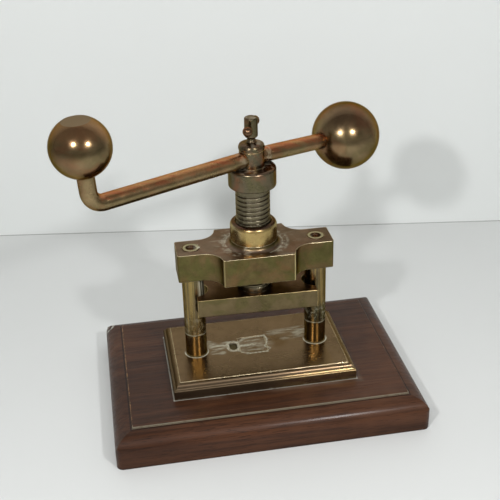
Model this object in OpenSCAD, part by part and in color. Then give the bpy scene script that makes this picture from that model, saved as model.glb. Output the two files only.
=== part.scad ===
// Small bench screw press: a moulded hardwood board carries a brass bed plate, two
// columns and a crosshead. A single-start screw turns in the crosshead nut, and a
// weighted fly arm clamped in its head drives the platen down on the bed.
// Units are millimetres. The origin is the middle of the underside of the board,
// on the axis of the screw. +X runs along the crosshead and -Y is the front.

/* [Board] */
// Length of the board
board_l = 230; // [210:1:250]
// Depth of the board
board_d = 163; // [150:1:180]
// Thickness of the board
board_h = 25.5; // [23:0.5:30]
// Height of the plain vertical edge below the rounded edge
board_fillet_h = 13; // [9:0.2:19]
// Width of the rounded edge, measured inward
board_round_w = 13.5; // [8:0.5:18]
// Height of the small step where the flat top begins
board_step_h = 1.3; // [0.6:0.1:2]
// Radius of the corners of the board, seen from above
board_corner_r = 5; // [2:0.5:10]

/* [Bed plate] */
// Length of the flat top of the bed
bed_l = 127; // [124:1:140]
// Depth of the flat top of the bed
bed_d = 75.4; // [64:0.2:84]
// Height of the bed plate above the board
bed_h = 11.9; // [10:0.1:14]
// Width that the moulded edge adds on each side
bed_edge_w = 5.2; // [4:0.1:6]
// Side of the shallow square seat for a die
die_seat = 21; // [16:1:24]

/* [Columns and crosshead] */
// Distance between the two column axes
column_span = 93; // [90:0.5:98]
// Diameter of the columns
column_d = 16.2; // [14:0.2:17]
// Height of the crosshead underside above the bed
daylight = 68.5; // [66:0.5:74]
// Overall length of the crosshead
head_l = 115.2; // [112:0.2:120]
// Depth of the crosshead at the columns
head_lug_d = 23.4; // [21:0.2:28]
// Length of the deep middle block of the crosshead
head_block_l = 52.6; // [48:0.2:56]
// Depth of the middle block of the crosshead
head_block_d = 51; // [48:0.5:58]
// Thickness of the crosshead
head_h = 21.6; // [18:0.2:24]
// Radius of the hollow corners between block and lugs
head_fillet_r = 13.8; // [6:0.2:13.8]

/* [Screw and nut] */
// Outside diameter of the thread
screw_d = 25; // [24:0.1:25.2]
// Distance between neighbouring threads
pitch = 3.5; // [3:0.1:4]
// Outside diameter of the nut
nut_d = 34.2; // [34:0.2:36]
// Height of the nut above the crosshead
nut_h = 18.1; // [17:0.1:20]

/* [Platen] */
// Length of the platen
platen_l = 89.4; // [88:0.2:93]
// Depth of the platen
platen_d = 35; // [32:0.5:38]
// Thickness of the platen
platen_h = 13.9; // [13:0.1:15]
// Height of the platen underside above the bed as shown
platen_gap = 40.2; // [36:0.1:42]
// Radius of the open guide notches in the platen ends
notch_r = 10.8; // [10.8:0.1:11]
// Small turn of the loose platen between its guides, in degrees
platen_turn = -1.6; // [-2.4:0.1:2.4]

/* [Fly head and arm] */
// Diameter of the hub
hub_d = 34.4; // [32:0.1:35]
// Height of the hub
hub_h = 14.5; // [13:0.1:16]
// Diameter of the arm socket above the hub
socket_d = 17.9; // [17.8:0.1:20]
// Height of the arm socket
socket_h = 18; // [17.6:0.1:19]
// Height of the arm axis above the top of the hub
arm_rise = 6; // [5.9:0.1:6.4]
// Diameter of the fly arm
arm_d = 11.5; // [10:0.1:11.6]
// Heading of the fly arm from the crosshead, in degrees
arm_heading = 26.1; // [15:0.1:40]
// Distance from the screw axis to the bend of the arm
arm_reach = 126; // [110:1:140]
// Height of the grip ball centre above the arm
grip_rise = 40.1; // [36:0.1:46]
// Outward lean of the upturned end, in degrees
grip_lean = 3.5; // [0:0.1:6]
// Centre line radius of the bend
bend_r = 10.5; // [8:0.5:12]
// Diameter of the grip ball
grip_ball_d = 39.6; // [36:0.2:44]
// Diameter of the flat on top of the grip ball
grip_flat_d = 18.6; // [10:0.2:20]
// Distance from the screw axis to the counterweight ball
counter_reach = 87; // [80:0.5:92]
// Diameter of the counterweight ball
counter_ball_d = 50.6; // [44:0.2:52]
// Droop of the short end of the arm, in degrees
arm_droop = 3.4; // [1:0.1:4]

/* [Clamp screw] */
// Diameter of the head of the clamp screw
clamp_d = 9.4; // [8.8:0.1:10]
// Height of the clamp screw above the arm socket
clamp_h = 18.1; // [17:0.1:24]
// Distance between the two small balls of the tommy bar
tommy_span = 23; // [20:0.5:26]
// Diameter of the small balls
tommy_ball_d = 7; // [5.6:0.1:7.4]
// Heading of the tommy bar, in degrees
tommy_heading = 68; // [0:1:180]

/* [Hidden] */
$fn = 96;
fit = 0.05;            // radial clearance of parts that go into each other
over = 1;              // how far a cutter runs past the face that it cuts

// Levels, from the underside of the board
bed_top = board_h + bed_h;
head_z = bed_top + daylight;
head_top = head_z + head_h;
nut_top = head_top + nut_h;
platen_z = bed_top + platen_gap;
platen_top = platen_z + platen_h;

// Bed plate edge: a fine arris and an ovolo under the flat top, a quirk, then a plain foot
bed_arris_h = 0.5;
bed_ovolo_w = 3.2;
bed_ovolo_h = 3.1;
bed_quirk_h = 0.7;
seat_depth = 0.6;
seat_x = -2.8;
seat_y = 1.2;
slot_x = -17.9;
slot_y = 1.1;
slot_w = 6;
slot_l = 10;
slot_depth = 1.2;

// Column ends
foot_r = 6;            // threaded foot through the bed and the board
tenon_r = 6.6;         // tenon through the crosshead
tenon_proud = 0.3;
tenon_cup_r = 3.8;
tenon_cup_depth = 1.6;
foot_recess_r = 11;
foot_recess_h = 10;
washer_r = 9.5;
washer_h = 1.5;
hex_nut_flats = 16;
hex_nut_h = 6;
foot_end_z = 1.2;

// Screws under the bed plate
plate_screw_x = 50;
plate_screw_y = 27;
plate_screw_r = 2;
plate_screw_head_r = 4.2;
plate_screw_head_h = 3;
plate_screw_recess = 4;
plate_screw_bite = 7;

// Crosshead corners
lug_corner_r = 1.5;
block_corner_r = 1.2;
block_corner_lap = 0.05;

// Screw nut and its boss on the crosshead
nut_bore_r = screw_d / 2 + 0.1;
nut_body_r = 15.4;     // the part of the nut inside the crosshead
nut_shoulder_r = 3.3;
boss_foot_r = 3.8;
boss_h = 4;
boss_top = head_top + boss_h;
lock_r = 2.5;
lock_z = head_z + head_h / 2;
lock_bite = 1;

// Press screw
screw_r = screw_d / 2;
thread_share = 0.34;   // depth of the thread, as a share of its pitch
thread_depth = pitch * thread_share;
root_r = screw_r - thread_depth;
thrust_proud = 0.4;
thrust_r = screw_r + thrust_proud;
thrust_h = 4;
thrust_z = platen_top + fit;
journal_r = 6;
screw_bare_h = 27.5;   // free length of the screw between the nut and the hub
hub_z = nut_top + screw_bare_h;
hub_top = hub_z + hub_h;
plain_h = 3.4;
spigot_r = 8;
spigot_h = 10;
segments = 24;         // straight steps in one turn of the thread

// Swivel joint between screw and platen
swivel_recess_r = 9;
swivel_recess_h = 5.2;
swivel_washer_r = 8.4;
swivel_washer_h = 1.6;
swivel_screw_r = 2.5;
swivel_head_r = 4.6;
swivel_head_h = 2.6;
swivel_screw_bite = 9;

// Fly head
hub_r = hub_d / 2;
hub_rim_low = 1.2;
hub_rim_high = 2;
socket_r = socket_d / 2;
socket_top = hub_top + socket_h;
bead_h = 3.2;
bead_proud = 0.4;
dome_h = 2.2;
head_lock_r = 2;
head_lock_rise = 6;
head_lock_z = hub_z + head_lock_rise;
head_lock_bite = 0.8;

// Fly arm
arm_r = arm_d / 2;
arm_z = hub_top + arm_rise;
ball_spigot_r = 3.5;
ball_spigot_l = 12;
ball_seat_r = 7;
grip_r = grip_ball_d / 2;
counter_r = counter_ball_d / 2;
grip_seat = sqrt(grip_r * grip_r - ball_seat_r * ball_seat_r);
counter_seat = sqrt(counter_r * counter_r - ball_seat_r * ball_seat_r);
grip_flat = sqrt(grip_r * grip_r - grip_flat_d * grip_flat_d / 4);
leg_l = grip_rise / cos(grip_lean);
bend_angle = 90 - grip_lean;
bend_set = bend_r * tan(bend_angle / 2);
arm_kink = 10.5;        // the short end is straight this far, then bends down slightly
droop_r = 60;
droop_set = droop_r * tan(arm_droop / 2);
counter_l = (counter_reach - arm_kink - droop_set) / cos(arm_droop);
bend_lap = 0.3;
bend_step = 0.02;

// Clamp screw
clamp_r = clamp_d / 2;
clamp_z = socket_top;
clamp_shank_r = 2.9;
tommy_rise = 11.3;
tommy_z = clamp_z + tommy_rise;
tommy_r = 1.3;
tommy_ball_r = tommy_ball_d / 2;
tommy_shift = 0.6;     // how far the bar has slid towards the back

// Half the section of a drum of radius r and height h, with rims rounded by low and high
module drum_section(r, h, low, high) {
    translate([0, low]) square([r, h - low - high]);
    square([r - low, h / 2]);
    translate([0, h / 2]) square([r - high, h / 2]);
    if (low > 0) translate([r - low, low]) circle(low);
    if (high > 0) translate([r - high, h - high]) circle(high);
}

// What is cut from a square corner at (x, y) to round it to radius r
module corner_cut(x, y, r) {
    translate([x - r, y - r]) difference() {
        square(r + over);
        circle(r);
    }
}

// The outline of a bar end with one quarter of a hollow corner of radius r at (x, y)
module hollow_corner(x, y, r) {
    translate([x, y]) difference() {
        square(r);
        translate([r, r]) circle(r);
    }
}

// Slotted round screw head, slot on the lower face, top of the head at z = 0
module slotted_head(r, h) {
    difference() {
        translate([0, 0, -h]) cylinder(r = r, h = h);
        translate([-r - over, -0.5, -h - over]) cube([2 * (r + over), 1, over + h * 0.45]);
    }
}

// Board: a plain lower slab, a rounded edge all round it, and the raised flat top
module board_body() {
    w = board_round_w;
    h = board_h - board_step_h - board_fillet_h;
    intersection() {
        rounded_bar(board_l, board_d, w, h);
        rotate(90) rounded_bar(board_d, board_l, w, h);
        linear_extrude(board_h) board_outline();
    }
    translate([-board_l / 2 + w, -board_d / 2 + w, 0])
        cube([board_l - 2 * w, board_d - 2 * w, board_h]);
}

// The outline of the board from above
module board_outline() {
    difference() {
        square([board_l, board_d], center = true);
        for (mx = [0, 1], my = [0, 1]) mirror([mx, 0]) mirror([0, my])
            corner_cut(board_l / 2, board_d / 2, board_corner_r);
    }
}

// A bar along Y whose two long upper edges are rounded to a quarter ellipse, w wide and h high
module rounded_bar(length, depth, w, h) {
    z0 = board_fillet_h;
    arc = [for (a = [6 : 6 : 90]) [w * (1 - cos(a)), h * sin(a)]];
    n = len(arc);
    translate([0, depth / 2 + over, 0]) rotate([90, 0, 0])
        linear_extrude(depth + 2 * over) polygon(concat(
            [[length / 2, 0], [length / 2, z0]],
            [for (p = arc) [length / 2 - p[0], z0 + p[1]]],
            [for (k = [n - 1 : -1 : 0]) [-length / 2 + arc[k][0], z0 + arc[k][1]]],
            [[-length / 2, z0], [-length / 2, 0]]));
}

module base_board() {
    color([0.36, 0.17, 0.11]) difference() {
        board_body();
        for (s = [-1, 1]) translate([s * column_span / 2, 0, 0]) {
            translate([0, 0, -over]) cylinder(r = foot_r + fit, h = board_h + 2 * over);
            translate([0, 0, -over]) cylinder(r = foot_recess_r, h = foot_recess_h + over);
        }
        for (x = [-1, 1], y = [-1, 1]) translate([x * plate_screw_x, y * plate_screw_y, -over]) {
            cylinder(r = plate_screw_r + fit, h = board_h + 2 * over);
            cylinder(r = plate_screw_head_r + 0.4, h = plate_screw_recess + over);
        }
    }
}

// The bed edge section, swept along one pair of sides
module bed_bar(len, depth) {
    a = len / 2;
    q = bed_edge_w - 1;
    z1 = bed_top - bed_arris_h - bed_ovolo_h;
    z2 = z1 - bed_quirk_h;
    translate([0, depth / 2 + bed_edge_w, 0]) rotate([90, 0, 0])
        linear_extrude(depth + 2 * bed_edge_w) polygon(concat(
            [[a + bed_edge_w, board_h], [a + bed_edge_w, z2 - 0.5],
                [a + bed_edge_w - 0.5, z2], [a + q - 0.4, z2]],
            [for (t = [0 : 9 : 90]) [a + bed_ovolo_w * cos(t), z1 + bed_ovolo_h * sin(t)]],
            [[a, bed_top], [-a, bed_top]],
            [for (t = [90 : -9 : 0]) [-a - bed_ovolo_w * cos(t), z1 + bed_ovolo_h * sin(t)]],
            [[-a - q + 0.4, z2], [-a - bed_edge_w + 0.5, z2],
                [-a - bed_edge_w, z2 - 0.5], [-a - bed_edge_w, board_h]]));
}

module bed_plate() {
    color([0.55, 0.42, 0.28]) difference() {
        intersection() {
            bed_bar(bed_l, bed_d);
            rotate(90) bed_bar(bed_d, bed_l);
        }
        for (s = [-1, 1]) translate([s * column_span / 2, 0, board_h - over])
            cylinder(r = foot_r + fit, h = bed_h + 2 * over);
        for (x = [-1, 1], y = [-1, 1])
            translate([x * plate_screw_x, y * plate_screw_y, board_h - over])
                cylinder(r = plate_screw_r + fit, h = plate_screw_bite + 0.5 + over);
        translate([seat_x - die_seat / 2, seat_y - die_seat / 2, bed_top - seat_depth])
            cube([die_seat, die_seat, seat_depth + over]);
        translate([slot_x, slot_y, bed_top - slot_depth]) {
            for (s = [-1, 1]) translate([0, s * (slot_l - slot_w) / 2, 0])
                cylinder(d = slot_w, h = slot_depth + over);
            translate([-slot_w / 2, -(slot_l - slot_w) / 2, 0])
                cube([slot_w, slot_l - slot_w, slot_depth + over]);
        }
    }
}

module plate_screws() {
    color([0.6, 0.5, 0.32]) for (x = [-1, 1], y = [-1, 1])
        translate([x * plate_screw_x, y * plate_screw_y, plate_screw_recess]) {
            slotted_head(plate_screw_head_r, plate_screw_head_h);
            translate([0, 0, -0.5])
                cylinder(r = plate_screw_r, h = board_h + plate_screw_bite - plate_screw_recess + 0.5);
        }
}

module column() {
    color([0.6, 0.48, 0.25]) difference() {
        union() {
            translate([0, 0, foot_end_z]) cylinder(r = foot_r, h = bed_top - foot_end_z + over);
            translate([0, 0, bed_top]) cylinder(d = column_d, h = daylight);
            translate([0, 0, head_z - over])
                cylinder(r = tenon_r, h = head_h + tenon_proud + over);
        }
        translate([0, 0, head_top + tenon_proud - tenon_cup_depth])
            cylinder(r = tenon_cup_r, h = tenon_cup_depth + over);
    }
}

module column_left() { translate([-column_span / 2, 0, 0]) column(); }
module column_right() { translate([column_span / 2, 0, 0]) column(); }

module column_washers() {
    color([0.6, 0.5, 0.32]) for (s = [-1, 1])
        translate([s * column_span / 2, 0, foot_recess_h - washer_h]) difference() {
            cylinder(r = washer_r, h = washer_h);
            translate([0, 0, -over]) cylinder(r = foot_r + 0.2, h = washer_h + 2 * over);
        }
}

module column_nuts() {
    color([0.6, 0.5, 0.32]) for (s = [-1, 1])
        translate([s * column_span / 2, 0, foot_recess_h - washer_h - hex_nut_h]) difference() {
            cylinder(r = hex_nut_flats / 2 / cos(30), h = hex_nut_h, $fn = 6);
            translate([0, 0, -over]) cylinder(r = foot_r + fit, h = hex_nut_h + 2 * over);
        }
}

// Crosshead outline: a long bar and a deep block joined by four hollow corners. The
// other corners are slightly rounded.
module crosshead_outline() {
    hollow_r = min(head_fillet_r, (head_block_d - head_lug_d) / 2);
    difference() {
        union() {
            square([head_l, head_lug_d], center = true);
            square([head_block_l, head_block_d], center = true);
            for (mx = [0, 1], my = [0, 1]) mirror([mx, 0]) mirror([0, my])
                hollow_corner(head_block_l / 2, head_lug_d / 2, hollow_r);
        }
        for (mx = [0, 1], my = [0, 1]) mirror([mx, 0]) mirror([0, my]) {
            corner_cut(head_l / 2, head_lug_d / 2, lug_corner_r);
            corner_cut(head_block_l / 2 + block_corner_lap, head_block_d / 2, block_corner_r);
        }
    }
}

// Low boss under the nut, with a hollow foot that runs into the crosshead top
module nut_boss() {
    r = nut_d / 2;
    rotate_extrude() difference() {
        square([r + boss_foot_r, boss_top - head_top]);
        translate([r + boss_foot_r, boss_foot_r]) circle(boss_foot_r);
        translate([r, boss_foot_r]) square([boss_foot_r + over, boss_top]);
    }
}

module crosshead() {
    color([0.5, 0.4, 0.2]) difference() {
        union() {
            translate([0, 0, head_z]) linear_extrude(head_h) crosshead_outline();
            translate([0, 0, head_top]) nut_boss();
        }
        for (s = [-1, 1]) translate([s * column_span / 2, 0, head_z - over])
            cylinder(r = tenon_r + fit, h = head_h + 2 * over);
        translate([0, 0, head_z - over])
            cylinder(r = nut_body_r + fit, h = boss_top - head_z + 2 * over);
        translate([0, nut_body_r - over, lock_z]) rotate([-90, 0, 0])
            cylinder(r = lock_r + fit, h = head_block_d / 2);
    }
}

module screw_nut() {
    color([0.85, 0.68, 0.3]) difference() {
        union() {
            translate([0, 0, head_z]) cylinder(r = nut_body_r, h = boss_top - head_z + over);
            translate([0, 0, boss_top]) rotate_extrude()
                drum_section(nut_d / 2, nut_top - boss_top, 0, nut_shoulder_r);
        }
        translate([0, 0, head_z - over]) cylinder(r = nut_bore_r, h = nut_top - head_z + 2 * over);
        translate([0, 0, nut_top - 1]) cylinder(r = nut_bore_r + 0.9, h = over + 1);
        translate([0, nut_body_r - lock_bite, lock_z]) rotate([-90, 0, 0])
            cylinder(r = lock_r + fit, h = lock_bite + over);
    }
}

module nut_lock_screw() {
    color([0.45, 0.4, 0.3]) translate([0, nut_body_r - lock_bite + fit, lock_z])
        rotate([-90, 0, 0]) {
            l = head_block_d / 2 - nut_body_r + lock_bite - fit - 0.6;
            difference() {
                cylinder(r = lock_r, h = l);
                translate([-lock_r - over, -0.4, l - 1]) cube([2 * (lock_r + over), 0.8, over + 1]);
            }
        }
}

module platen() {
    color([0.62, 0.48, 0.24]) translate([0, 0, platen_z]) rotate(platen_turn) difference() {
        translate([-platen_l / 2, -platen_d / 2, 0]) cube([platen_l, platen_d, platen_h]);
        for (s = [-1, 1]) translate([s * column_span / 2, 0, -over])
            cylinder(r = notch_r, h = platen_h + 2 * over);
        translate([0, 0, -over]) cylinder(r = journal_r + fit, h = platen_h + 2 * over);
        translate([0, 0, -over]) cylinder(r = swivel_recess_r, h = swivel_recess_h + over);
    }
}

// One solid ridge and root of the thread, as a helicoid strip closed by two end fans
module thread(z0, z1) {
    turns = floor((z1 - z0) / pitch) - 1;
    n = turns * segments;
    profile = [[root_r, 0], [screw_r, 0.16], [screw_r, 0.7], [root_r, 0.86]];
    m = len(profile);
    function point(k, j) = let (a = 360 * k / segments) [
        profile[j][0] * cos(a), profile[j][0] * sin(a),
        z0 + pitch * (k / segments + profile[j][1])];
    function at(k, j) = j < m ? k * m + j : (k + segments) * m;
    strip = [for (k = [0 : n + segments], j = [0 : m - 1]) point(k, j)];
    low = len(strip);
    high = low + 1;
    walls = [for (k = [0 : n - 1], j = [0 : m - 1])
        each [[at(k, j), at(k, j + 1), at(k + 1, j)],
              [at(k + 1, j), at(k, j + 1), at(k + 1, j + 1)]]];
    low_rim = concat([for (k = [0 : segments - 1]) [at(k, 0), at(k + 1, 0)]],
        [for (j = [m - 1 : -1 : 0]) [at(0, j + 1), at(0, j)]]);
    high_rim = concat([for (k = [0 : segments - 1]) [at(n + k, 0), at(n + k + 1, 0)]],
        [for (j = [m - 1 : -1 : 0]) [at(n, j + 1), at(n, j)]]);
    polyhedron(
        points = concat(strip, [[0, 0, z0], [0, 0, z0 + (turns + 1) * pitch + pitch / 2]]),
        faces = concat(walls,
            [for (e = low_rim) [e[0], e[1], low]],
            [for (e = high_rim) [e[1], e[0], high]]));
}

module press_screw() {
    color([0.45, 0.4, 0.28]) difference() {
        union() {
            translate([0, 0, platen_z + swivel_recess_h + fit])
                cylinder(r = journal_r, h = thrust_z - platen_z - swivel_recess_h);
            translate([0, 0, thrust_z]) cylinder(r = thrust_r, h = thrust_h);
            thread(thrust_z + 0.4, hub_z - 0.2);
            translate([0, 0, hub_z - plain_h - pitch]) cylinder(r = root_r - 0.5, h = plain_h + pitch);
            translate([0, 0, hub_z - plain_h]) cylinder(r = screw_r + 0.02, h = plain_h);
            translate([0, 0, hub_z - over]) cylinder(r = spigot_r, h = spigot_h + over);
        }
        translate([0, 0, platen_z]) cylinder(r = swivel_screw_r + fit,
            h = swivel_recess_h + swivel_screw_bite + 0.5);
        translate([0, spigot_r - head_lock_bite, head_lock_z]) rotate([-90, 0, 0])
            cylinder(r = head_lock_r + fit, h = over + head_lock_bite);
    }
}

module swivel_washer() {
    color([0.6, 0.5, 0.32]) difference() {
        translate([0, 0, platen_z + swivel_recess_h - swivel_washer_h])
            cylinder(r = swivel_washer_r, h = swivel_washer_h);
        translate([0, 0, platen_z]) cylinder(r = swivel_screw_r + 0.1, h = swivel_recess_h + over);
    }
}

module swivel_screw() {
    head_top_z = platen_z + swivel_recess_h - swivel_washer_h;
    color([0.5, 0.48, 0.45]) translate([0, 0, head_top_z]) {
        slotted_head(swivel_head_r, swivel_head_h);
        translate([0, 0, -0.5])
            cylinder(r = swivel_screw_r, h = swivel_washer_h + swivel_screw_bite + 0.5);
    }
}

// Arm socket outline: straight wall, a bead, then a low dome under the clamp screw
module socket_section() {
    polygon(concat(
        [[0, 0], [socket_r, 0], [socket_r, socket_h - dome_h - bead_h - 0.4],
            [socket_r - 0.3, socket_h - dome_h - bead_h]],
        [for (t = [-60 : 20 : 60]) [socket_r - 0.3 + (bead_proud + 0.3) * cos(t),
            socket_h - dome_h - bead_h / 2 + bead_h / 2 * sin(t)]],
        [for (t = [10 : 16 : 74]) [3.4 + (socket_r - 3.4) * cos(t),
            socket_h - dome_h + dome_h * sin(t)]],
        [[3.4, socket_h], [0, socket_h]]));
}

module fly_head() {
    color([0.5, 0.42, 0.25]) difference() {
        union() {
            translate([0, 0, hub_z]) rotate_extrude()
                drum_section(hub_r, hub_h, hub_rim_low, hub_rim_high);
            translate([0, 0, hub_top]) rotate_extrude() socket_section();
        }
        translate([0, 0, hub_z - over]) cylinder(r = spigot_r + fit, h = spigot_h + 0.3 + over);
        translate([0, 0, arm_z]) rotate([0, 90, arm_heading])
            cylinder(r = arm_r + fit, h = 3 * socket_r, center = true);
        translate([0, 0, arm_z]) cylinder(r = clamp_shank_r + fit, h = socket_h);
        translate([0, spigot_r - over, head_lock_z]) rotate([-90, 0, 0])
            cylinder(r = head_lock_r + fit, h = hub_r);
    }
}

module head_lock_screw() {
    l = hub_r - spigot_r + head_lock_bite - 1;
    color([0.45, 0.4, 0.3]) translate([0, spigot_r - head_lock_bite + fit, head_lock_z])
        rotate([-90, 0, 0]) difference() {
            cylinder(r = head_lock_r, h = l);
            translate([-head_lock_r - over, -0.35, l - 0.8])
                cube([2 * (head_lock_r + over), 0.7, over + 0.8]);
        }
}

// The arm frame: -X runs to the grip ball, +X to the counterweight
module arm_frame() {
    translate([0, 0, arm_z]) rotate(arm_heading) children();
}

// The frame of the upturned end, +Z along it, with the origin at the bend
module grip_frame() {
    translate([-arm_reach, 0, 0]) rotate([0, -grip_lean, 0]) children();
}

// The frame of the drooping end, +Z along it, with the origin at the slight bend
module counter_frame() {
    translate([arm_kink + droop_set, 0, 0]) rotate([0, 90 + arm_droop, 0]) children();
}

// A bend of the arm in the XZ plane about the origin. Its ends run a little way
// into the straight lengths, and it is thinner than them by a hair.
module arm_bend(r, start, angle) {
    lap = bend_lap / r * 180 / PI;
    rotate([90, 0, 0]) rotate(start - lap) rotate_extrude(angle = angle + 2 * lap)
        translate([r, 0]) circle(arm_r - bend_step);
}

module fly_arm() {
    color([0.6, 0.38, 0.2]) arm_frame() {
        translate([arm_kink, 0, 0]) rotate([0, -90, 0])
            cylinder(r = arm_r, h = arm_kink + arm_reach - bend_set);
        translate([-arm_reach + bend_set, 0, bend_r])
            arm_bend(bend_r, -90 - bend_angle, bend_angle);
        grip_frame() {
            translate([0, 0, bend_set])
                cylinder(r = arm_r, h = leg_l - grip_seat - bend_set);
            translate([0, 0, leg_l - grip_seat - over])
                cylinder(r = ball_spigot_r, h = ball_spigot_l + over);
        }
        translate([arm_kink, 0, -droop_r]) arm_bend(droop_r, 90 - arm_droop, arm_droop);
        counter_frame() {
            translate([0, 0, droop_set])
                cylinder(r = arm_r, h = counter_l - counter_seat - droop_set);
            translate([0, 0, counter_l - counter_seat - over])
                cylinder(r = ball_spigot_r, h = ball_spigot_l + over);
        }
    }
}

// A ball centred on the origin with a seat and a bore for the arm end at -Z
module seated_ball(r, seat) {
    difference() {
        sphere(r);
        translate([-r, -r, -2 * r - seat]) cube([2 * r, 2 * r, 2 * r]);
        translate([0, 0, -seat - over])
            cylinder(r = ball_spigot_r + fit, h = ball_spigot_l + over + 0.5);
    }
}

module grip_ball() {
    color([0.58, 0.44, 0.2]) arm_frame() grip_frame() translate([0, 0, leg_l]) difference() {
        seated_ball(grip_r, grip_seat);
        translate([-grip_r, -grip_r, grip_flat]) cube(2 * grip_r);
    }
}

module counter_ball() {
    color([0.58, 0.44, 0.2]) arm_frame() counter_frame() translate([0, 0, counter_l])
        seated_ball(counter_r, counter_seat);
}

// Clamp screw head: foot ring, hollow neck and a drum with a rounded end
module clamp_section() {
    r = clamp_r;
    polygon(concat(
        [[0, 0], [3.7, 0], [3.8, 0.4], [3.5, 0.9], [3.1, 1.4], [2.9, 2.1], [3, 2.8], [r - 1.1, 3.5],
            [r - 0.4, 3.9], [r, 4.6]],
        [for (t = [0 : 10 : 90]) [r - 1.3 + 1.3 * cos(t), clamp_h - 1.3 + 1.3 * sin(t)]],
        [[0, clamp_h]]));
}

module clamp_screw() {
    shank_top = clamp_z + fit;
    shank_end = arm_z + arm_r + fit;
    color([0.55, 0.38, 0.2]) difference() {
        union() {
            translate([0, 0, shank_top]) rotate_extrude() clamp_section();
            translate([0, 0, shank_end]) cylinder(r = clamp_shank_r, h = shank_top - shank_end + over);
        }
        translate([0, 0, tommy_z]) rotate([0, 90, tommy_heading])
            cylinder(r = tommy_r + fit, h = 3 * clamp_r, center = true);
    }
}

// The tommy bar frame: +X points along the bar towards the back
module tommy_frame() {
    translate([0, 0, tommy_z]) rotate(tommy_heading) translate([tommy_shift, 0, 0]) children();
}

module tommy_bar() {
    color([0.5, 0.34, 0.22]) tommy_frame() rotate([0, 90, 0])
        cylinder(r = tommy_r, h = tommy_span, center = true);
}

module tommy_ball(side) {
    color([0.5, 0.32, 0.25]) tommy_frame() translate([side * tommy_span / 2, 0, 0])
        rotate([0, 90, 0]) difference() {
            sphere(tommy_ball_r);
            translate([0, 0, side > 0 ? -tommy_ball_r - over : -fit])
                cylinder(r = tommy_r + fit / 2, h = tommy_ball_r + over + fit);
        }
}

module tommy_ball_front() { tommy_ball(-1); }
module tommy_ball_back() { tommy_ball(1); }

base_board();
bed_plate();
plate_screws();
column_left();
column_right();
column_washers();
column_nuts();
crosshead();
screw_nut();
nut_lock_screw();
platen();
press_screw();
swivel_washer();
swivel_screw();
fly_head();
head_lock_screw();
fly_arm();
grip_ball();
counter_ball();
clamp_screw();
tommy_bar();
tommy_ball_front();
tommy_ball_back();
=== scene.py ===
import math
import bpy
from mathutils import Matrix, Vector


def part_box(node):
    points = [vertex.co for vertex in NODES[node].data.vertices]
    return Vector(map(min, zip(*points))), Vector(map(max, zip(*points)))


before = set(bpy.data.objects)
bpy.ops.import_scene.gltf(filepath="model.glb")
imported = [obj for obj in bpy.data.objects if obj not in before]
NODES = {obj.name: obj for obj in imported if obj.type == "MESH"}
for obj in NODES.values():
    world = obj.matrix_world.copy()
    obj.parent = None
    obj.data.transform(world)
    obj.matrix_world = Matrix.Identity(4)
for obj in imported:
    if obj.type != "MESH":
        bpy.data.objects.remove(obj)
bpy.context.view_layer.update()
bpy.context.scene.view_settings.view_transform = "Standard"

# ------------------------------------------------- places on the object, in metres
BOARD_X, BOARD_Y, BOARD_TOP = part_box("base_board")[1]    # half length, half depth, height
BED_X, BED_Y, BED_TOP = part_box("bed_plate")[1]
FEET = [sum(corner[0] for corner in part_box(name)) / 2 for name in ("column_left", "column_right")]
BOSS_H = 0.004                # boss on the crosshead, under the nut
HEAD_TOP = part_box("crosshead")[1][2] - BOSS_H
BLOCK_HALF_L = 0.0263         # half length of the crosshead's middle block
QUIRK_IN = 0.0136             # from the side of the board to the step round its flat top
SLOT_X, SLOT_Y = -0.0179, 0.0011    # middle of the obround slot in the bed
SLOT_HALF_STRAIGHT = 0.002
RUB_TOP = 0.0565              # height up to which the columns are rubbed golden
STAIN_Z = 0.064
TENON_CUP_Z = 0.1245          # the cupped ends of the columns lie above this height
ARM_TURN = -math.radians(26.1)
MM = 0.001

# ------------------------------------------------- colours that several parts share
EDGE_TINT = (0.50, 0.42, 0.30, 1.0)
GOLD = (0.80, 0.60, 0.28)
COPPER = (0.30, 0.105, 0.055)
OLIVE = (0.115, 0.108, 0.036)
SPOTS = (0.05, 0.032, 0.018)
PAINTED_CORNER_SHADE = (0.045, 0.03, 0.016)
PASTE = (0.56, 0.54, 0.42)


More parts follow.
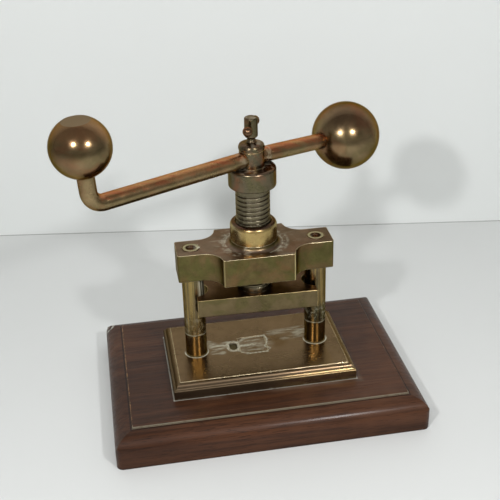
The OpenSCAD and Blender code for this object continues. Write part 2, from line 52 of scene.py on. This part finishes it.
# ---------------------------------------------------------------- node helpers
class Graph:
    """A material whose nodes are added by short calls; every call returns a socket."""

    def __init__(self, name):
        self.material = bpy.data.materials.new(name)
        self.material.use_nodes = True
        self.tree = self.material.node_tree
        self.tree.nodes.clear()
        self.out = self.tree.nodes.new("ShaderNodeOutputMaterial").inputs["Surface"]
        self.shader = self.tree.nodes.new("ShaderNodeBsdfPrincipled")
        self.tree.links.new(self.shader.outputs[0], self.out)
        self.pos = self.tree.nodes.new("ShaderNodeTexCoord").outputs["Object"]
        self.geometry = self.tree.nodes.new("ShaderNodeNewGeometry").outputs
        self.normal = self.geometry["Normal"]

    def put(self, socket, value):
        if isinstance(value, bpy.types.NodeSocket):
            self.tree.links.new(value, socket)
        elif value is not None:
            if socket.type == "RGBA" and len(value) == 3:
                value = (*value, 1.0)
            socket.default_value = value

    def set(self, **values):
        for name, value in values.items():
            self.put(self.shader.inputs[name.replace("_", " ")], value)

    def math(self, op, a, b=None, c=None, clamp=False):
        n = self.tree.nodes.new("ShaderNodeMath")
        n.operation = op
        n.use_clamp = clamp
        for i, v in enumerate((a, b, c)):
            self.put(n.inputs[i], v)
        return n.outputs[0]

    def add(self, a, b, clamp=False):
        return self.math("ADD", a, b, clamp=clamp)

    def sub(self, a, b):
        return self.math("SUBTRACT", a, b)

    def size(self, a):
        return self.math("ABSOLUTE", a)

    def mul(self, first, *others):
        for value in others:
            first = self.math("MULTIPLY", first, value)
        return first

    def most(self, first, *others):
        for value in others:
            first = self.math("MAXIMUM", first, value)
        return first

    def scale_add(self, a, factor, b, clamp=False):
        """a * factor + b"""
        return self.math("MULTIPLY_ADD", a, factor, b, clamp=clamp)

    def scale_colour(self, colour, factor):
        n = self.tree.nodes.new("ShaderNodeVectorMath")
        n.operation = "SCALE"
        self.put(n.inputs[0], colour)
        self.put(n.inputs["Scale"], factor)
        return n.outputs[0]

    def split(self, vector):
        n = self.tree.nodes.new("ShaderNodeSeparateXYZ")
        self.put(n.inputs[0], vector)
        return n.outputs[:3]

    def noise(self, scale, detail=3.0, rough=0.5, warp=0.0, vector=None):
        n = self.tree.nodes.new("ShaderNodeTexNoise")
        self.put(n.inputs["Vector"], self.pos if vector is None else vector)
        n.inputs["Scale"].default_value = scale
        n.inputs["Detail"].default_value = detail
        n.inputs["Roughness"].default_value = rough
        n.inputs["Distortion"].default_value = warp
        return n.outputs["Fac"]

    def drawn(self, scale, detail, rough, warp=0.0, turn=0.0):
        """Noise with its own frequency along each axis, in turns per metre."""
        n = self.tree.nodes.new("ShaderNodeMapping")
        self.put(n.inputs["Vector"], self.pos)
        n.inputs["Scale"].default_value = scale
        n.inputs["Rotation"].default_value = (0, 0, turn)
        return self.noise(1.0, detail, rough, warp, n.outputs[0])

    def ramp(self, fac, lo, hi, a=0.0, b=1.0):
        """Smooth step from a, where fac is lo, to b, where it is hi."""
        n = self.tree.nodes.new("ShaderNodeMapRange")
        n.interpolation_type = "SMOOTHSTEP"
        names = ("Value", "From Min", "From Max", "To Min", "To Max")
        for name, v in zip(names, (fac, lo, hi, a, b)):
            self.put(n.inputs[name], v)
        return n.outputs[0]

    def mix(self, fac, a, b):
        n = self.tree.nodes.new("ShaderNodeMix")
        n.data_type = "RGBA"
        self.put(n.inputs[0], fac)
        self.put(n.inputs[6], a)
        self.put(n.inputs[7], b)
        return n.outputs[2]

    def edge(self, radius, lo=0.02, hi=0.25):
        """1 on arrises and 0 on flat ground, and the normal that rounds the arrises."""
        n = self.tree.nodes.new("ShaderNodeBevel")
        n.samples = 6
        n.inputs["Radius"].default_value = radius
        dot = self.tree.nodes.new("ShaderNodeVectorMath")
        dot.operation = "DOT_PRODUCT"
        self.put(dot.inputs[0], n.outputs[0])
        self.put(dot.inputs[1], self.normal)
        return self.ramp(self.sub(1.0, dot.outputs["Value"]), lo, hi), n.outputs[0]

    def hollow(self, distance):
        """1 deep in corners, 0 in the open."""
        n = self.tree.nodes.new("ShaderNodeAmbientOcclusion")
        n.samples = 8
        n.inputs["Distance"].default_value = distance
        return self.ramp(n.outputs["AO"], 0.85, 0.35)

    def band(self, value, centre, half):
        """1 where value is within half of centre, soft at the rim."""
        return self.ramp(self.size(self.sub(value, centre)), half, half * 0.35)

    def radius(self, x, y):
        return self.math("SQRT", self.scale_add(x, x, self.mul(y, y)))

    def stroke(self, x, y, ax, ay, bx, by, half):
        """1 near the line from a to b in the XY plane, all in metres."""
        dx, dy = bx - ax, by - ay
        span = dx * dx + dy * dy
        px, py = self.sub(x, ax), self.sub(y, ay)
        t = self.scale_add(px, dx / span, self.mul(py, dy / span), clamp=True)
        away = self.radius(self.sub(px, self.mul(t, dx)), self.sub(py, self.mul(t, dy)))
        return self.ramp(away, half, half * 0.3)

    def bump(self, height, strength, distance, normal=None):
        n = self.tree.nodes.new("ShaderNodeBump")
        n.inputs["Strength"].default_value = strength
        n.inputs["Distance"].default_value = distance
        self.put(n.inputs["Height"], height)
        self.put(n.inputs["Normal"], normal)
        return n.outputs[0]


# ------------------------------------------------------------------- old brass
def aged_brass(name, up, side, bright, lines, rough=0.26, mottle=0.5, red=0.0, wear=1.0,
               residue=0.35, dents=1.0, olive=0.0, extra=None):
    """Old brass. Faces that look up are painted brown and upright faces olive gold: patina, with
    a painted reflection of the dim room above and the brighter room in front laid into it. Arrises
    are rubbed bright, which also paints the highlights they catch; corners get painted shade and
    hold pale polish residue, and the ground has clouds, specks, drawing lines and small dents. A
    part's own marks come from extra."""
    g = Graph(name)
    cloud = g.noise(34, 4, 0.6, warp=0.6)
    blot = g.noise(150, 4, 0.65)
    fine = g.noise(900, 3, 0.6)
    drawn = g.drawn(lines, 3, 0.7)

    # ground: patina and painted reflection by the way a face looks, then clouds, red tarnish and
    # specks
    facing = g.add(g.split(g.normal)[2], g.mul(g.sub(cloud, 0.5), 0.3))
    if olive:
        green = g.mul(g.ramp(g.noise(58, 3, 0.55, warp=0.8), 0.42, 0.62), olive)
        side = g.mix(green, side, OLIVE)
    colour = g.mix(g.ramp(facing, 0.3, 0.9), side, up)
    shade = g.mul(g.ramp(cloud, 0.3, 0.7, 1.0 - 0.42 * mottle, 1.0 + 0.22 * mottle),
                  g.ramp(blot, 0.3, 0.7, 1.0 - 0.16 * mottle, 1.0 + 0.14 * mottle))
    colour = g.scale_colour(colour, shade)
    if red:
        warm = g.mul(g.ramp(g.noise(46, 4, 0.6, warp=1.0), 0.47, 0.66), red)
        colour = g.mix(warm, colour, COPPER)
    spots = g.mul(g.ramp(fine, 0.62, 0.74), 0.5)
    colour = g.mix(spots, colour, SPOTS)

    # painted shade: corners darkened by ambient occlusion; rubbed metal on the open arrises, which
    # also paints the highlights they catch
    deep = g.hollow(0.0035)
    colour = g.mix(g.mul(deep, 0.75), colour, PAINTED_CORNER_SHADE)
    edge, soft = g.edge(0.0008, 0.006, 0.12)
    rubbed = g.mul(edge, g.sub(1.0, deep), g.ramp(blot, 0.30, 0.56, 0.35, 1.0))
    colour = g.mix(g.mul(rubbed, 0.9 * wear), colour, bright)
    paste = g.mul(g.ramp(deep, 0.35, 0.75), g.ramp(g.noise(260, 4, 0.7), 0.50, 0.60))
    paste = g.math("MULTIPLY", paste, residue, clamp=True)

    shine = g.scale_add(g.sub(drawn, 0.5), 0.10, g.ramp(cloud, 0.3, 0.7, rough, rough + 0.1))
    shine = g.add(shine, g.mul(g.add(spots, deep), 0.18), clamp=True)
    relief = g.scale_add(drawn, 0.45, g.mul(fine, 0.25))
    relief = g.scale_add(blot, 1.1 * dents, relief)
    if extra:
        colour, shine, paste = extra(g, colour, shine, paste)

    # dried polish is pale, rough and not metal
    colour = g.mix(paste, colour, PASTE)
    shine = g.scale_add(paste, 0.4, shine, clamp=True)
    g.set(Base_Color=colour, Metallic=g.scale_add(paste, -0.75, 1.0), Roughness=shine,
          Specular_Tint=EDGE_TINT, Normal=g.bump(relief, 0.2, 0.0001, soft))
    return g.material


# Strokes of residue on the bed in mm: from x, y to x, y, half width, strength. The first list
# follows the seat and the slot, the second is what was smeared beside them.
SEAT_STROKES = (
    (-9, 10.6, 8.4, 11.6, 0.9, 0.8), (8.2, 11.6, 9.6, 6.5, 1.1, 1.0),
    (9.6, 6.5, 8.4, 1.6, 1.0, 1.0), (8.4, 1.6, 5.7, -2.2, 0.9, 0.9),
    (5.7, -2.2, 9.8, -6.8, 0.9, 0.9), (9.6, -7, 6.6, -10.6, 0.8, 0.8),
    (-8.4, -10.8, 7.0, -11.2, 1.0, 1.0), (-13.6, 0.9, -1.5, 1.6, 2.3, 1.0),
    (-1.5, 1.6, 4.0, 0.8, 1.2, 0.7), (-8, 6.8, 4, 7.4, 1.3, 0.45),
    (-7, -5.6, 4, -6.2, 1.3, 0.5), (-15, 5.6, -8.5, 10.4, 2.0, 0.7),
    (-16, -4.2, -8.6, -10.6, 1.9, 0.65),
)
SMEARS = (
    (-37, 8, -30, 2, 6.0, 0.85), (-31, 1, -22.5, 5, 5.0, 0.8), (-34, -5, -27, -6, 3.5, 0.6),
    (-12, 0, 6, 1, 10.0, 0.32), (12, 14, 40, 16, 4.5, 0.42), (22, 4, 38, 6, 3.5, 0.3),
    (34, 8, 40, 12, 6.0, 0.55),
)


def bed_marks(g, colour, shine, paste):
    """Polish residue on the bed: rings round the columns, the outline of the seat and the slot
    and smears beside them. Also the worn patch, gold stretches in front of the columns that are a
    painted reflection of them, and a moulding golden on its right and dull on its left."""
    x, y, z = g.split(g.pos)
    top = g.ramp(z, BED_TOP - 0.0010, BED_TOP - 0.0008)
    ragged = g.noise(330, 4, 0.7)
    torn = g.ramp(g.noise(640, 4, 0.75), 0.40, 0.56, 0.2, 1.0)
    smeared = g.ramp(g.drawn((90.0, 420.0, 1.0), 4, 0.65, turn=-0.1), 0.40, 0.62)
    wobble = g.mul(g.sub(g.noise(120, 2, 0.5), 0.5), 0.0016)
    wx, wy = g.add(x, wobble), g.sub(y, wobble)

    def add_strokes(marks, strokes, breaks):
        for *ends, half, force in strokes:
            line = g.stroke(wx, wy, *(v * MM for v in ends), half * MM)
            marks = g.most(marks, g.mul(line, force, breaks))
        return marks

    marks = 0.0
    for foot_x in FEET:
        ring = g.mul(g.band(g.radius(g.sub(x, foot_x), y), 0.0089, 0.0007), g.ramp(y, 0.004, -0.002))
        marks = g.most(marks, g.mul(ring, g.ramp(ragged, 0.25, 0.5, 0.4, 1.0)))
    from_slot = g.most(g.sub(g.size(g.sub(wy, SLOT_Y)), SLOT_HALF_STRAIGHT), 0.0)
    rim = g.band(g.radius(g.sub(wx, SLOT_X), from_slot), 0.0042, 0.0017)
    marks = g.most(marks, g.mul(rim, torn))
    marks = add_strokes(marks, SEAT_STROKES, torn)
    marks = add_strokes(marks, SMEARS, smeared)

    patch = g.stroke(wx, wy, 0.0135, 0.0045, 0.0175, -0.001, 0.0085)
    colour = g.mix(g.mul(patch, top, 0.45), colour, (0.13, 0.075, 0.032))
    # painted reflection: golden stretches in front of the columns, standing for the columns'
    # reflection in the polished bed
    for foot_x, force in zip(FEET, (0.40, 0.25)):
        streak = g.mul(g.band(x, foot_x * 1.03 + 0.0006, 0.0062), top, g.ramp(y, -0.006, -0.012))
        colour = g.mix(g.mul(streak, force), colour, (0.25, 0.155, 0.06))
    # the moulding is golden on the right of its front, and dull and dark on its left half
    worn = g.mul(g.ramp(y, -0.0400, -0.0408), g.ramp(x, 0.000, 0.018),
                 g.ramp(g.drawn((60.0, 200.0, 500.0), 3, 0.6), 0.36, 0.56))
    colour = g.mix(g.mul(worn, 0.35), colour, (0.42, 0.30, 0.11))
    dull = g.mul(g.ramp(z, BED_TOP - 0.0006, BED_TOP - 0.0010), g.ramp(x, 0.030, -0.004))
    colour = g.mix(g.mul(dull, 0.82), colour, (0.110, 0.078, 0.048))
    shine = g.scale_add(dull, 0.14, shine)
    slot = g.ramp(g.radius(g.sub(x, SLOT_X), from_slot), 0.0034, 0.0026)
    colour = g.mix(g.mul(slot, 0.85), colour, (0.10, 0.085, 0.045))
    return colour, shine, g.most(paste, g.mul(marks, top))


def column_marks(g, colour, shine, paste):
    """The foot of a column is rubbed golden up to a line of residue; above it is olive."""
    x, y, z = g.split(g.pos)
    ragged = g.noise(300, 4, 0.7)
    level = g.scale_add(g.sub(g.noise(70, 2, 0.5), 0.5), 0.004, z)
    streaks = g.drawn((420.0, 420.0, 9.0), 3, 0.65)
    foot = g.ramp(level, RUB_TOP, RUB_TOP - 0.002)
    colour = g.mix(g.mul(g.ramp(streaks, 0.42, 0.62), 0.5), colour, (0.52, 0.36, 0.12))
    colour = g.mix(g.mul(foot, 0.75), colour, (0.27, 0.20, 0.095))
    shine = g.scale_add(foot, -0.06, shine)
    line = g.mul(g.band(level, RUB_TOP - 0.0003, 0.0007), g.ramp(ragged, 0.38, 0.55, 0.3, 1.0))
    # stains above the line, greener on the right column
    stain = g.mul(g.band(level, STAIN_Z, 0.010), g.ramp(ragged, 0.50, 0.64),
                  g.ramp(x, -0.01, 0.01, 0.7, 1.4))
    green = g.mul(g.band(level, STAIN_Z, 0.012), g.ramp(x, -0.01, 0.01))
    colour = g.mix(g.mul(green, 0.55), colour, (0.050, 0.058, 0.040))
    # pale streaks on the inner side of the left column, under the crosshead
    inner = g.mul(g.ramp(x, FEET[0] + 0.001, FEET[0] + 0.005), g.ramp(x, 0.0, -0.001))
    drip = g.mul(g.ramp(level, 0.083, 0.092), inner, g.ramp(streaks, 0.44, 0.56))
    stain = g.most(stain, g.mul(drip, 2.4))
    # the end of the tenon in the crosshead: a pale ring round a brown cup
    end = g.ramp(z, TENON_CUP_Z, TENON_CUP_Z + 0.0005)
    colour = g.mix(g.mul(end, 0.9), colour, (0.12, 0.062, 0.042))
    rim = g.mul(g.band(g.radius(g.sub(g.size(x), FEET[1]), y), 0.0050, 0.0014), end)
    colour = g.mix(g.mul(rim, 0.85), colour, (0.46, 0.42, 0.26))
    return colour, shine, g.most(paste, g.mul(line, 0.6), g.mul(stain, 0.35))


def arm_marks(g, colour, shine, paste):
    """Copper-red streaks along the top of the bar, and residue just outside its socket."""
    x, y, _ = g.split(g.pos)
    streaks = g.ramp(g.drawn((9.0, 300.0, 260.0), 4, 0.6, warp=0.3, turn=ARM_TURN), 0.40, 0.60)
    high = g.ramp(g.split(g.normal)[2], 0.1, 0.75)
    colour = g.mix(g.mul(streaks, high, 0.7), colour, (0.50, 0.150, 0.070))
    ragged = g.ramp(g.noise(300, 4, 0.7), 0.42, 0.58)
    near = g.mul(g.band(g.radius(x, y), 0.0125, 0.0028), ragged)
    return colour, shine, g.most(paste, g.mul(near, 0.28))


def head_marks(g, colour, shine, paste):
    """Residue round the boss and thin smears on the top of the crosshead, and a painted highlight
    on the rubbed upright arrises of its middle block, brighter on the right."""
    x, y, z = g.split(g.pos)
    top = g.ramp(z, HEAD_TOP - 0.0003, HEAD_TOP - 0.0001)
    ragged = g.noise(280, 4, 0.7)
    away = g.radius(x, y)
    sides = g.ramp(g.size(x), 0.011, 0.018, 0.12, 1.0)
    ring = g.mul(g.band(away, 0.0230, 0.0040), g.ramp(ragged, 0.46, 0.60, 0.0, 0.45), sides)
    arc = g.mul(g.band(away, 0.0212, 0.0005), g.ramp(ragged, 0.42, 0.58, 0.0, 0.7))
    smear = g.ramp(g.drawn((70.0, 260.0, 70.0), 4, 0.65, turn=0.5), 0.56, 0.70)
    smear = g.mul(smear, g.ramp(away, 0.040, 0.022), 0.4)
    marks = g.mul(g.most(ring, arc, smear), top)
    # painted highlight: a bright gold line on each upright front arris of the block, which is rubbed
    # too, stronger on the right
    upright = g.mul(g.band(g.size(x), BLOCK_HALF_L - 0.0004, 0.0009), g.ramp(y, -0.0235, -0.0245),
                    g.ramp(x, -0.02, 0.02, 0.35, 1.0))
    colour = g.mix(g.mul(upright, 0.8), colour, (0.66, 0.56, 0.28))
    return colour, shine, g.most(paste, marks)


def nut_side_reflection(g, colour, shine, paste):
    """The sides of the drum are painted paler and greyer, a painted reflection, so that only its
    front and back stay golden.
    """
    side = g.ramp(g.size(g.split(g.normal)[0]), 0.55, 0.9)
    return g.mix(g.mul(side, 0.5), colour, (0.46, 0.41, 0.26)), shine, paste


def ball_marks(g, colour, shine, paste):
    """The crown of the grip ball is painted a warm brown, patina with painted reflection in it, and
    the flat on its top a greyer disc, a painted reflection of the pale wall.
    """
    grip = g.ramp(g.split(g.pos)[0], 0.0, -0.05)
    up = g.split(g.normal)[2]
    crown = g.mul(g.ramp(up, 0.25, 0.65), grip)
    colour = g.mix(g.mul(crown, 0.6), colour, (0.38, 0.215, 0.105))
    # painted reflection: the flat top of the grip ball is painted grey
    flat = g.mul(g.ramp(up, 0.990, 0.998), grip)
    return g.mix(g.mul(flat, 0.85), colour, (0.275, 0.225, 0.180)), shine, paste


def hub_marks(g, colour, shine, paste):
    """Pale smears on the top of the hub beside its socket."""
    ragged = g.ramp(g.noise(120, 4, 0.65, warp=0.5), 0.50, 0.64)
    high = g.ramp(g.split(g.normal)[2], 0.7, 0.95)
    return colour, shine, g.most(paste, g.mul(ragged, high, 0.35))


# the colours are those of faces that look up, of upright faces and of rubbed arrises; the first two
# hold painted reflection as well as patina
brass_plate = aged_brass(
    "aged_plate_brass", (0.190, 0.128, 0.074), (0.200, 0.135, 0.086), (0.82, 0.68, 0.42),
    lines=(60, 900, 900), rough=0.24, mottle=0.4, wear=1.1, dents=0.15, extra=bed_marks)
brass_head = aged_brass(
    "aged_head_brass", (0.205, 0.148, 0.108), (0.158, 0.112, 0.050), (0.84, 0.72, 0.46),
    lines=(60, 900, 900), rough=0.29, mottle=0.7, red=0.15, olive=0.8, extra=head_marks)
brass_platen = aged_brass(
    "aged_platen_brass", (0.120, 0.076, 0.052), (0.178, 0.134, 0.068), GOLD,
    lines=(60, 900, 900), mottle=0.6, olive=0.5)
brass_column = aged_brass(
    "rubbed_column_brass", (0.18, 0.13, 0.07), (0.145, 0.110, 0.060), GOLD,
    lines=(900, 900, 40), rough=0.20, mottle=0.7, dents=0.6, olive=0.4, extra=column_marks)
brass_nut = aged_brass(
    "golden_nut_brass", (0.110, 0.068, 0.050), (0.44, 0.325, 0.130), GOLD,
    lines=(300, 300, 2600), rough=0.20, mottle=0.4, red=0.2, dents=0.8, extra=nut_side_reflection)
brass_hub = aged_brass(
    "turned_head_brass", (0.165, 0.110, 0.074), (0.150, 0.126, 0.080), GOLD,
    lines=(300, 300, 2600), rough=0.22, mottle=0.6, red=0.55, olive=0.4, extra=hub_marks)
brass_ball = aged_brass(
    "ball_brass", (0.215, 0.138, 0.080), (0.250, 0.182, 0.098), GOLD,
    lines=(300, 300, 300), rough=0.165, mottle=0.6, red=0.35, wear=0.6, dents=0.7, olive=0.3,
    extra=ball_marks)
brass_arm = aged_brass(
    "copper_toned_brass", (0.545, 0.283, 0.126), (0.295, 0.215, 0.112), (0.52, 0.34, 0.15),
    lines=(120, 120, 120), rough=0.22, mottle=0.4, red=0.3, wear=0.4, olive=0.3, extra=arm_marks)
brass_small = aged_brass(
    "dull_small_brass", (0.20, 0.11, 0.065), (0.19, 0.112, 0.065), GOLD,
    lines=(600, 600, 600), rough=0.24, red=0.5)
brass_thread = aged_brass(
    "thread_brass", (0.21, 0.175, 0.11), (0.16, 0.138, 0.086), (0.52, 0.47, 0.33),
    lines=(600, 600, 2600), rough=0.24, mottle=0.6, wear=0.8, residue=0.2)


# -------------------------------------------------------------------- the wood
def mahogany():
    """Polished mahogany: long grain, dark pores, worn pale edges and a thin worn finish."""
    g = Graph("old_mahogany")
    x, y, z = g.split(g.pos)
    wave = g.drawn((4.0, 45.0, 45.0), 4, 0.55, warp=0.8)
    pores = g.drawn((70.0, 1300.0, 1300.0), 3, 0.75)
    streak = g.drawn((14.0, 330.0, 330.0), 4, 0.6, warp=0.4)
    scuff = g.ramp(g.drawn((30.0, 420.0, 420.0), 4, 0.7, warp=0.5), 0.42, 0.62)
    cloud = g.noise(16, 3, 0.6)
    ragged = g.noise(240, 4, 0.7)

    colour = g.mix(g.ramp(wave, 0.32, 0.68), (0.040, 0.0155, 0.0072), (0.078, 0.0305, 0.0140))
    colour = g.mix(g.mul(g.ramp(streak, 0.42, 0.66), 0.62), colour, (0.022, 0.0095, 0.006))
    colour = g.mix(g.mul(g.ramp(pores, 0.52, 0.68), 0.8), colour, (0.012, 0.006, 0.004))
    colour = g.mix(g.mul(g.ramp(cloud, 0.5, 0.72), 0.35), colour, (0.11, 0.047, 0.023))
    edge, soft = g.edge(0.0009)
    worn = g.mul(edge, g.ramp(g.noise(120, 3, 0.6), 0.35, 0.6, 0.3, 1.0))
    colour = g.mix(g.mul(worn, 0.45), colour, (0.24, 0.16, 0.09))

    # the quirk: a rubbed line, pale in front and warm on the left, where the flat top steps
    # down to the rounded edge, and a dark line outside it
    inset = g.math("MINIMUM", g.sub(BOARD_X, g.size(x)), g.sub(BOARD_Y, g.size(y)))
    left = g.ramp(x, -0.098, -0.101)
    front = g.ramp(y, -0.064, -0.067)
    seen = g.most(g.mul(front, g.ramp(ragged, 0.25, 0.5, 0.45, 1.0)),
                  g.mul(left, g.ramp(ragged, 0.46, 0.62)))
    spots = g.mul(g.ramp(ragged, 0.60, 0.70), 0.8)
    line = g.mul(g.band(inset, QUIRK_IN, 0.00055), g.ramp(z, BOARD_TOP - 0.0017, BOARD_TOP - 0.0014),
                 g.most(seen, spots))
    colour = g.mix(g.mul(line, 0.65), colour, g.mix(front, (0.42, 0.22, 0.09), (0.27, 0.25, 0.18)))
    dark = g.mul(g.band(inset, QUIRK_IN - 0.0012, 0.0007),
                 g.ramp(z, BOARD_TOP - 0.0030, BOARD_TOP - 0.0023))
    colour = g.mix(g.mul(dark, 0.7), colour, (0.008, 0.005, 0.004))

    # polish residue where the bed meets the board, and a chip at the back left corner
    outside = g.most(g.sub(g.size(x), BED_X), g.sub(g.size(y), BED_Y))
    film = g.mul(g.band(outside, 0.0004, 0.0008), g.ramp(ragged, 0.25, 0.5, 0.4, 0.9))
    haze = g.mul(g.ramp(outside, 0.0060, 0.001), g.ramp(cloud, 0.48, 0.66, 0.0, 0.14))
    film = g.mul(g.most(film, haze), g.ramp(z, BOARD_TOP - 0.0005, BOARD_TOP - 0.0001))
    chip = g.radius(g.add(x, BOARD_X - 0.0035), g.sub(y, BOARD_Y - 0.0060))
    chip = g.scale_add(g.sub(ragged, 0.5), 0.010, chip)
    chip = g.mul(g.band(chip, 0.0032, 0.0011), g.ramp(z, 0.012, 0.016))
    film = g.most(film, chip)
    colour = g.mix(film, colour, (0.38, 0.37, 0.32))
    # painted shade: the wood is darkened in corners found by ambient occlusion
    colour = g.mix(g.mul(g.hollow(0.003), 0.6), colour, (0.015, 0.008, 0.006))

    shine = g.scale_add(g.sub(pores, 0.5), 0.2, g.ramp(cloud, 0.3, 0.7, 0.30, 0.42))
    shine = g.scale_add(scuff, 0.14, g.scale_add(film, 0.4, shine), clamp=True)
    relief = g.sub(g.mul(streak, 0.4), g.ramp(pores, 0.55, 0.75))
    g.set(Base_Color=colour, Roughness=shine, Specular_IOR_Level=0.13,
          Normal=g.bump(relief, 0.3, 0.00012, soft), Coat_Weight=0.12, Coat_Roughness=0.20)
    return g.material


FINISH = {
    "base_board": mahogany(), "bed_plate": brass_plate, "plate_screws": brass_small,
    "column_left": brass_column, "column_right": brass_column, "column_washers": brass_small,
    "column_nuts": brass_small, "crosshead": brass_head, "screw_nut": brass_nut,
    "nut_lock_screw": brass_small, "platen": brass_platen, "press_screw": brass_thread,
    "swivel_washer": brass_small, "swivel_screw": brass_small, "fly_head": brass_hub,
    "head_lock_screw": brass_small, "fly_arm": brass_arm, "grip_ball": brass_ball,
    "counter_ball": brass_ball, "clamp_screw": brass_hub, "tommy_bar": brass_small,
    "tommy_ball_front": brass_small, "tommy_ball_back": brass_small,
}
for name, material in FINISH.items():
    mesh = NODES[name].data
    mesh.materials.clear()
    mesh.materials.append(material)


# ------------------------------------------------------------------- the stage
def painted(g, colour, rough, joint=0.0):
    """A painted sheet with a faint cloud in its tone and a fine grain, darker where joint is 1."""
    cloud = g.noise(3.0, 2, 0.5)
    paint = g.mix(g.ramp(cloud, 0.3, 0.7), colour, tuple(c * 0.985 for c in colour))
    g.set(Base_Color=g.mix(joint, paint, (0.30, 0.30, 0.29)), Roughness=rough,
          Normal=g.bump(g.noise(700, 2, 0.6), 0.05, 0.0002))
    return g.material


def wall_paint():
    """The wall has a thin dark joint at its foot and is one-sided: its back is clear, so that
    it doesn't hide the press from a camera behind it."""
    g = Graph("pale_wall")
    painted(g, (0.85, 0.880, 0.872), 0.7, g.mul(g.ramp(g.split(g.pos)[2], 0.0013, 0.0003), 0.8))
    both = g.tree.nodes.new("ShaderNodeMixShader")
    g.put(both.inputs[0], g.geometry["Backfacing"])
    g.put(both.inputs[1], g.shader.outputs[0])
    g.put(both.inputs[2], g.tree.nodes.new("ShaderNodeBsdfTransparent").outputs[0])
    g.put(g.out, both.outputs[0])
    return g.material


def sheet_piece(name, corners, material):
    mesh = bpy.data.meshes.new(name)
    mesh.from_pydata([tuple(c) for c in corners], [], [(0, 1, 2, 3)])
    mesh.materials.append(material)
    piece = bpy.data.objects.new(name, mesh)
    bpy.context.scene.collection.objects.link(piece)


WALL_TURN = math.radians(-8.83)
WALL_HALF_L, WALL_H = 3, 2
FLOOR_HALF_L, FLOOR_BEHIND, FLOOR_FRONT = 4, 4, 5     # the floor also runs on behind the wall
foot = Vector((0, 0.280, 0))                                        # a point on the wall's foot
along = Vector((math.cos(WALL_TURN), math.sin(WALL_TURN), 0))
toward = Vector((math.sin(WALL_TURN), -math.cos(WALL_TURN), 0))     # from the wall to the press
near, far = foot + toward * FLOOR_FRONT, foot - toward * FLOOR_BEHIND
reach = along * FLOOR_HALF_L
sheet_piece("floor", [far - reach, near - reach, near + reach, far + reach],
            painted(Graph("pale_floor"), (0.705, 0.722, 0.717), 0.6))
reach = along * WALL_HALF_L
rise = Vector((0, 0, WALL_H))
sheet_piece("wall", [foot - reach, foot + reach, foot + reach + rise, foot - reach + rise],
            wall_paint())


# ------------------------------------------------------------------- the light
def lamp(name, place, aim, size, power):
    data = bpy.data.lights.new(name, "AREA")
    data.shape = "DISK"
    data.size = size
    data.energy = power
    obj = bpy.data.objects.new(name, data)
    bpy.context.scene.collection.objects.link(obj)
    obj.location = place
    obj.rotation_euler = (Vector(aim) - Vector(place)).to_track_quat("-Z", "Y").to_euler()
    return obj


lamp("lamp_left", (-0.33, -0.53, 0.55), (0, 0, 0.12), 0.045, 2.3)
lamp("lamp_right", (0.19, -0.53, 0.52), (0, 0, 0.12), 0.045, 1.9)
ceiling = lamp("ceiling", (-0.2, -0.4, 1.9), (0, 0.1, 0.0), 2.4, 11.0)
ceiling.visible_glossy = False

# the room: a grey that is palest at eye level
world = bpy.data.worlds.new("room")
bpy.context.scene.world = world
world.use_nodes = True
tree = world.node_tree
back = tree.nodes["Background"]
coord = tree.nodes.new("ShaderNodeTexCoord").outputs["Generated"]
parts = tree.nodes.new("ShaderNodeSeparateXYZ")
height = tree.nodes.new("ShaderNodeMapRange")
height.inputs["From Min"].default_value = -1
shade = tree.nodes.new("ShaderNodeValToRGB")
below, above = shade.color_ramp.elements
below.position, below.color = 0.0, (0.35, 0.35, 0.34, 1)
above.position, above.color = 1.0, (0.34, 0.32, 0.30, 1)
shade.color_ramp.elements.new(0.5).color = (0.46, 0.45, 0.43, 1)
tree.links.new(coord, parts.inputs[0])
tree.links.new(parts.outputs["Z"], height.inputs["Value"])
tree.links.new(height.outputs[0], shade.inputs[0])
tree.links.new(shade.outputs[0], back.inputs["Color"])
back.inputs["Strength"].default_value = 0.69

# ------------------------------------------------------------------ the camera
AZ, EL, ROLL = math.radians(-9.276), math.radians(27.886), math.radians(-1.523)
DISTANCE = 0.68823
target = Vector((-0.002934, 0.0, 0.12081))
behind = Vector((math.sin(AZ) * math.cos(EL), -math.cos(AZ) * math.cos(EL), math.sin(EL)))
right = (-behind).cross(Vector((0, 0, 1))).normalized()
upward = right.cross(-behind)
side = right * math.cos(ROLL) + upward * math.sin(ROLL)
top = upward * math.cos(ROLL) - right * math.sin(ROLL)
lens = bpy.data.cameras.new("camera")
lens.lens = 67.32
lens.sensor_width = 36.0
lens.clip_start = 0.01
camera = bpy.data.objects.new("camera", lens)
bpy.context.scene.collection.objects.link(camera)
axes = Matrix((side, top, behind)).transposed().to_4x4()
camera.matrix_world = Matrix.Translation(target + behind * DISTANCE) @ axes
bpy.context.scene.camera = camera
